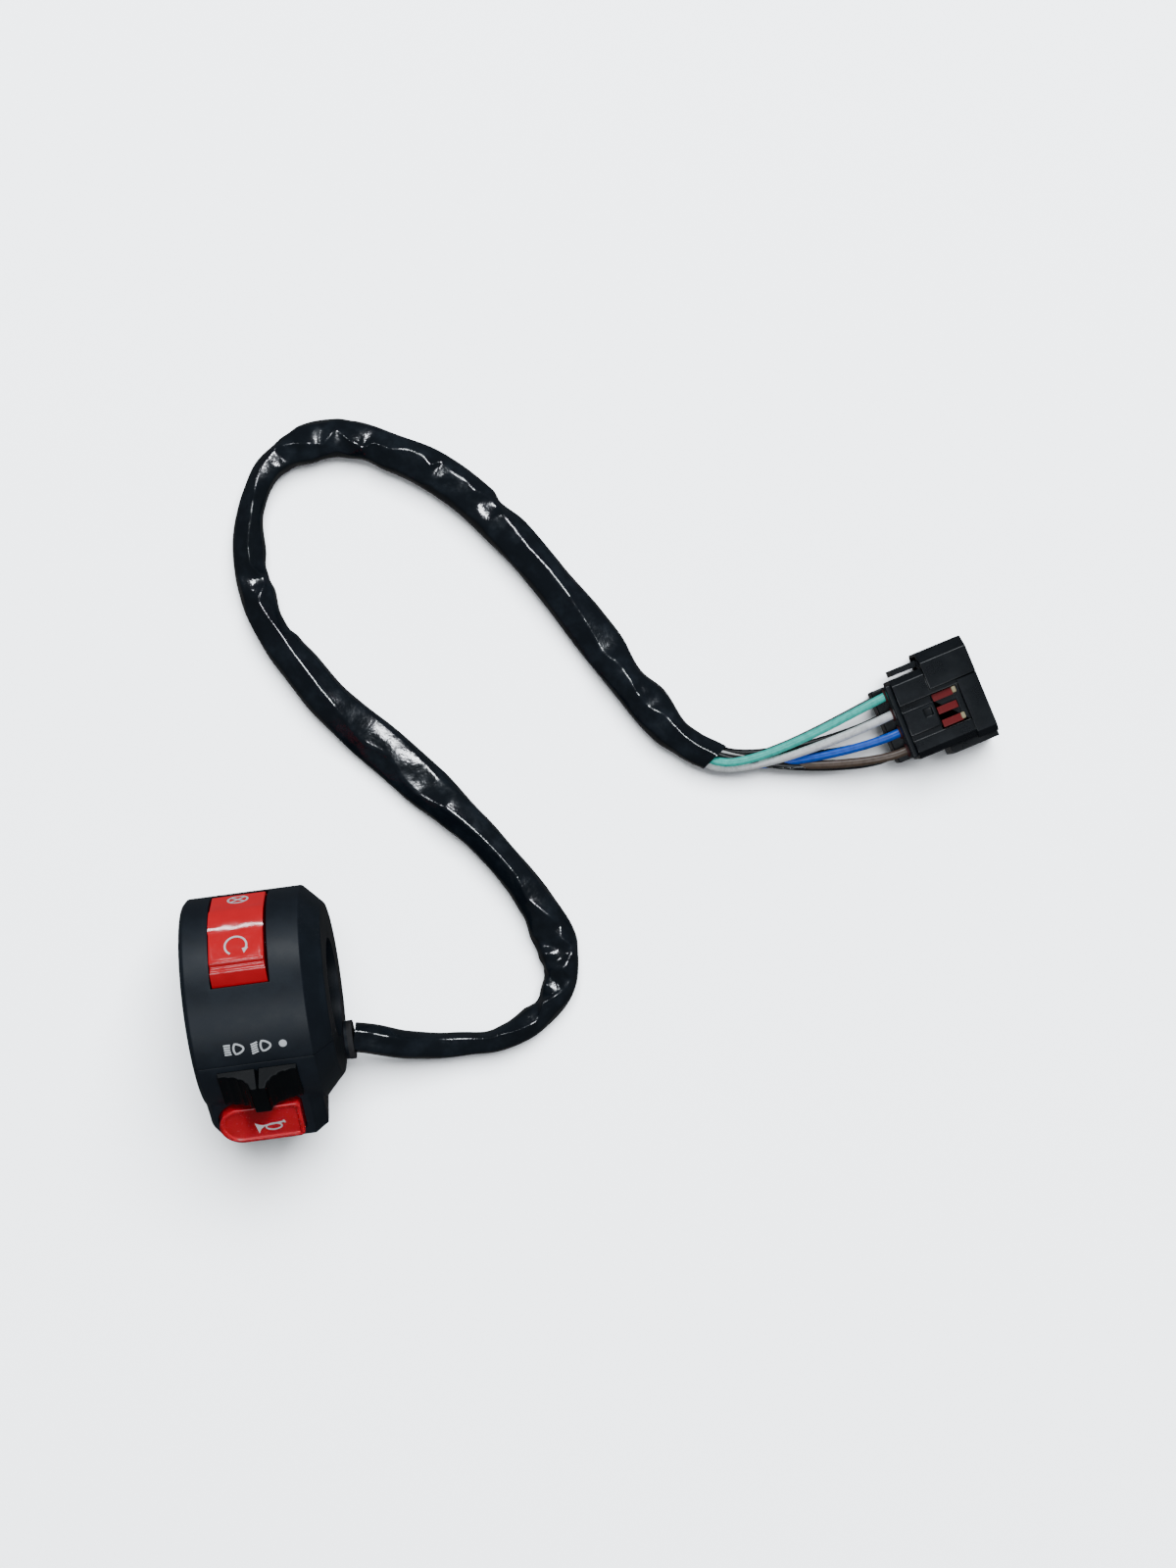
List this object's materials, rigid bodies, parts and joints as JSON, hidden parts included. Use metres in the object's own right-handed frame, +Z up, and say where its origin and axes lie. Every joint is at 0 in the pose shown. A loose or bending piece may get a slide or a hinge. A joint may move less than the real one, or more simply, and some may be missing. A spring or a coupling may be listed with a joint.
{
  "type": "handlebar switch cluster",
  "caption": "Round clamp-on handlebar switch housing with a red rocker, a headlamp slider and a red horn button, on a sleeved harness with a sealed plug.",
  "frame": {"origin": "centre of the 22.2 mm bar bore, half way along the housing", "axes": "+X along the bar towards the sloped end and the harness, +Z up from the surface that the part lies on, +Y away from the thumb controls"},
  "size_m": [0.186, 0.1583, 0.0476],
  "materials": {
    "housing_black": "satin moulded nylon with a fine grain",
    "slider_black": "satin moulded",
    "rocker_red": "gloss moulded",
    "horn_red": "gloss moulded",
    "inner_nylon": "matt moulded",
    "carriage_white": "natural nylon",
    "brass": "stamped",
    "bright_steel": "ground",
    "spring_steel": "drawn wire",
    "zinc_steel": "zinc plated",
    "grommet_rubber": "moulded rubber",
    "sleeve_pvc": "glossy thin vinyl tube",
    "wire_turquoise": "vinyl insulation",
    "wire_white": "vinyl insulation",
    "wire_blue": "vinyl insulation",
    "wire_brown": "vinyl insulation",
    "wire_grey": "vinyl insulation",
    "wire_black": "vinyl insulation",
    "wire_green": "vinyl insulation",
    "wire_striped": "black vinyl insulation with a white stripe",
    "plug_black": "satin moulded nylon",
    "lock_red": "moulded",
    "seal_cream": "silicone rubber",
    "seal_red": "silicone rubber",
    "print_white": "pad printed ink"
  },
  "bodies": {
    "housing": {"upper_shell": "housing_black", "lower_shell": "housing_black", "clamp_screws": "zinc_steel", "thread_inserts": "brass", "rocker_pin": "bright_steel", "rocker_base": "inner_nylon", "rocker_contacts": "brass", "dip_base": "inner_nylon", "dip_contacts": "brass", "horn_base": "inner_nylon", "horn_contacts": "brass", "horn_spring": "spring_steel", "base_screws": "zinc_steel", "cable_grommet": "grommet_rubber", "harness_sleeve": "sleeve_pvc", "wire_turquoise": "wire_turquoise", "wire_white": "wire_white", "wire_blue": "wire_blue", "wire_brown": "wire_brown", "wire_grey": "wire_grey", "wire_black": "wire_black", "wire_green": "wire_green", "wire_striped": "wire_striped", "plug_housing": "plug_black", "plug_collar": "plug_black", "plug_rear_cover": "plug_black", "plug_lock": "lock_red", "wire_seals": "seal_red", "plug_terminals": "brass", "face_seal": "seal_red"},
    "rocker": {"rocker_button": "rocker_red", "rocker_bridge": "brass", "rocker_ball": "bright_steel", "rocker_spring": "spring_steel"},
    "dip": {"dip_slider": "slider_black", "dip_carriage": "carriage_white", "dip_bridge": "brass", "dip_ball": "bright_steel", "dip_spring": "spring_steel"},
    "horn": {"horn_button": "horn_red", "horn_bridge": "brass"},
    "latch": {"plug_latch": "plug_black"}
  },
  "joints": [
    {"name": "rocker_tilt", "type": "hinge", "parent": "housing", "child": "rocker", "pos_m": [-0.00235, 0.01187, 0.01146], "axis": [1, 0, 0], "range_deg": [0, 16]},
    {"name": "dip_slide", "type": "slide", "parent": "housing", "child": "dip", "axis": [1, 0, 0], "range_m": [-0.0045, 0.0045]},
    {"name": "horn_press", "type": "slide", "parent": "housing", "child": "horn", "axis": [0, 0.6157, -0.788], "range_m": [0, 0.002], "stiffness_N_per_m": 200, "springref_m": -0.002, "deforming": ["horn_spring"]},
    {"name": "latch_flex", "type": "hinge", "parent": "housing", "child": "latch", "pos_m": [0.15543, 0.05454, -0.016], "axis": [0, 0, 1], "range_deg": [0, 4], "stiffness_Nm_per_rad": 0.01, "springref_deg": -2.86}
  ]
}
